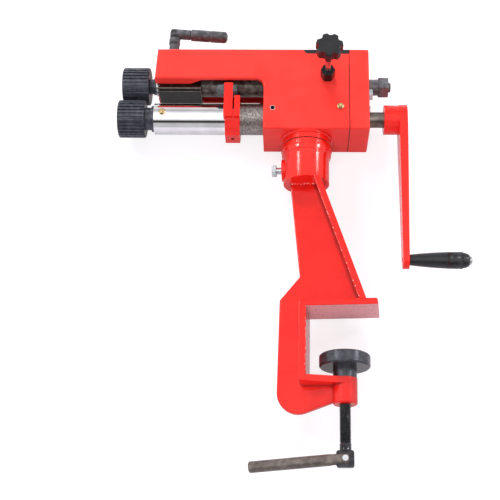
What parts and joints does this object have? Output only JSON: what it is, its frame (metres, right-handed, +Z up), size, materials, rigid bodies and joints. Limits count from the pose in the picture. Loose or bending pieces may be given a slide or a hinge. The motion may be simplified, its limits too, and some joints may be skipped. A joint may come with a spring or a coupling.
{
  "type": "bead roller",
  "caption": "Hand-cranked bench bead roller: geared twin-shaft head with ridged rolls on a swivel post over a screw clamp stand.",
  "frame": {"origin": "underside of the upper clamp jaw, on the clamp screw's axis", "axes": "+Z up along the clamp screw and the swivel post, +X along the roll shafts towards the crank, -Y the front with the star knob"},
  "size_m": [0.5304, 0.1691, 0.7011],
  "materials": {
    "red_paint": "gloss",
    "black_enamel": "satin",
    "polished_steel": "polished",
    "black_oxide": "satin",
    "brass": "satin",
    "black_plastic": "satin",
    "zinc_plate": "satin"
  },
  "bodies": {
    "stand": {"stand_frame": "red_paint", "socket_tube": "red_paint", "lock_bolt": "zinc_plate"},
    "head": {"main_body": "red_paint", "end_cover": "red_paint", "top_cover": "black_enamel", "top_screws": "black_oxide", "cover_bolts": "zinc_plate", "swivel_post": "red_paint", "lower_tube": "polished_steel", "front_oiler": "brass", "tube_oiler": "brass", "grub_screw": "black_oxide", "lower_front_bush": "brass", "lower_rear_bush": "brass", "cover_bush": "brass", "lock_bush": "black_oxide"},
    "crank": {"lower_shaft": "polished_steel", "lower_gear": "black_oxide", "lower_roll": "black_oxide", "lower_roll_screw": "black_oxide", "lower_washer": "black_oxide", "crank_arm": "red_paint", "crank_set_screw": "black_oxide", "grip_spindle": "polished_steel"},
    "grip": {"grip": "black_plastic"},
    "carrier": {"bearing_block": "black_oxide", "upper_front_bush": "brass", "upper_tube": "black_oxide", "upper_ball_bush": "brass"},
    "upper_spindle": {"upper_shaft": "polished_steel", "upper_gear": "black_oxide", "upper_roll": "black_oxide", "upper_roll_screw": "black_oxide", "upper_rings": "black_oxide", "upper_washer": "polished_steel", "rear_nut": "black_oxide"},
    "press_foot": {"press_foot": "polished_steel"},
    "press_screw": {"press_screw": "black_oxide", "press_pin": "zinc_plate"},
    "press_handle": {"press_handle": "black_oxide"},
    "lock_plug": {"lock_plug": "brass"},
    "star_knob": {"star_knob": "black_plastic", "lock_stud": "polished_steel"},
    "gauge": {"gauge_bracket": "red_paint", "gauge_bolt": "black_oxide", "gauge_washer": "black_oxide", "gauge_nut": "black_oxide", "gauge_set_screw": "black_oxide"},
    "clamp_pad": {"clamp_pad": "black_oxide"},
    "clamp_screw": {"clamp_screw": "black_oxide", "clamp_pin": "zinc_plate"},
    "clamp_handle": {"clamp_handle": "black_oxide"}
  },
  "joints": [
    {"name": "head_swivel", "type": "hinge", "parent": "stand", "child": "head", "pos_m": [-0.0547, 0.00575, 0.269], "axis": [0, 0, 1], "continuous": true},
    {"name": "crank_spin", "type": "hinge", "parent": "head", "child": "crank", "pos_m": [0.0453, 0.00575, 0.312], "axis": [1, 0, 0], "continuous": true},
    {"name": "grip_spin", "type": "hinge", "parent": "crank", "child": "grip", "pos_m": [0.1353, 0.00575, 0.0825], "axis": [1, 0, 0], "continuous": true},
    {"name": "press_slide", "type": "slide", "parent": "head", "child": "press_foot", "axis": [0, 0, 1], "range_m": [0, 0.00801]},
    {"name": "press_turn", "type": "hinge", "parent": "press_foot", "child": "press_screw", "pos_m": [-0.2647, 0.00575, 0.43], "axis": [0, 0, 1], "range_deg": [0, 1440]},
    {"name": "press_fold", "type": "hinge", "parent": "press_screw", "child": "press_handle", "pos_m": [-0.2647, 0.00575, 0.4653], "axis": [0, 1, 0], "range_deg": [-172, 6]},
    {"name": "upper_lift", "type": "hinge", "parent": "head", "child": "carrier", "pos_m": [0.0343, 0.00575, 0.369], "axis": [0, 1, 0], "range_deg": [0, 1.49]},
    {"name": "upper_spin", "type": "hinge", "parent": "carrier", "child": "upper_spindle", "pos_m": [0.0343, 0.00575, 0.369], "axis": [1, 0, 0], "continuous": true},
    {"name": "lock_slide", "type": "slide", "parent": "head", "child": "lock_plug", "axis": [0, -1, 0], "range_m": [0, 0.00376]},
    {"name": "star_turn", "type": "hinge", "parent": "lock_plug", "child": "star_knob", "pos_m": [-0.0237, -0.05425, 0.366], "axis": [0, -1, 0], "range_deg": [0, 1080]},
    {"name": "gauge_slide", "type": "slide", "parent": "head", "child": "gauge", "axis": [1, 0, 0], "range_m": [-0.088, 0.03]},
    {"name": "clamp_slide", "type": "slide", "parent": "stand", "child": "clamp_pad", "axis": [0, 0, 1], "range_m": [0, 0.0501]},
    {"name": "clamp_turn", "type": "hinge", "parent": "clamp_pad", "child": "clamp_screw", "pos_m": [0, 0, -0.15], "axis": [0, 0, 1], "range_deg": [0, 9000]},
    {"name": "clamp_fold", "type": "hinge", "parent": "clamp_screw", "child": "clamp_handle", "pos_m": [0, 0, -0.2091], "axis": [0.1045, 0.9945, 0], "range_deg": [-172, 6]}
  ],
  "couplings": [
    {"joint": "upper_spin", "follows": "crank_spin", "ratio": -1},
    {"joint": "press_slide", "follows": "press_turn", "m_per_rad": 0.00031831},
    {"joint": "upper_lift", "follows": "press_turn", "ratio": 0.0010301},
    {"joint": "lock_slide", "follows": "star_turn", "m_per_rad": 0.00019894},
    {"joint": "clamp_slide", "follows": "clamp_turn", "m_per_rad": 0.00031831}
  ]
}
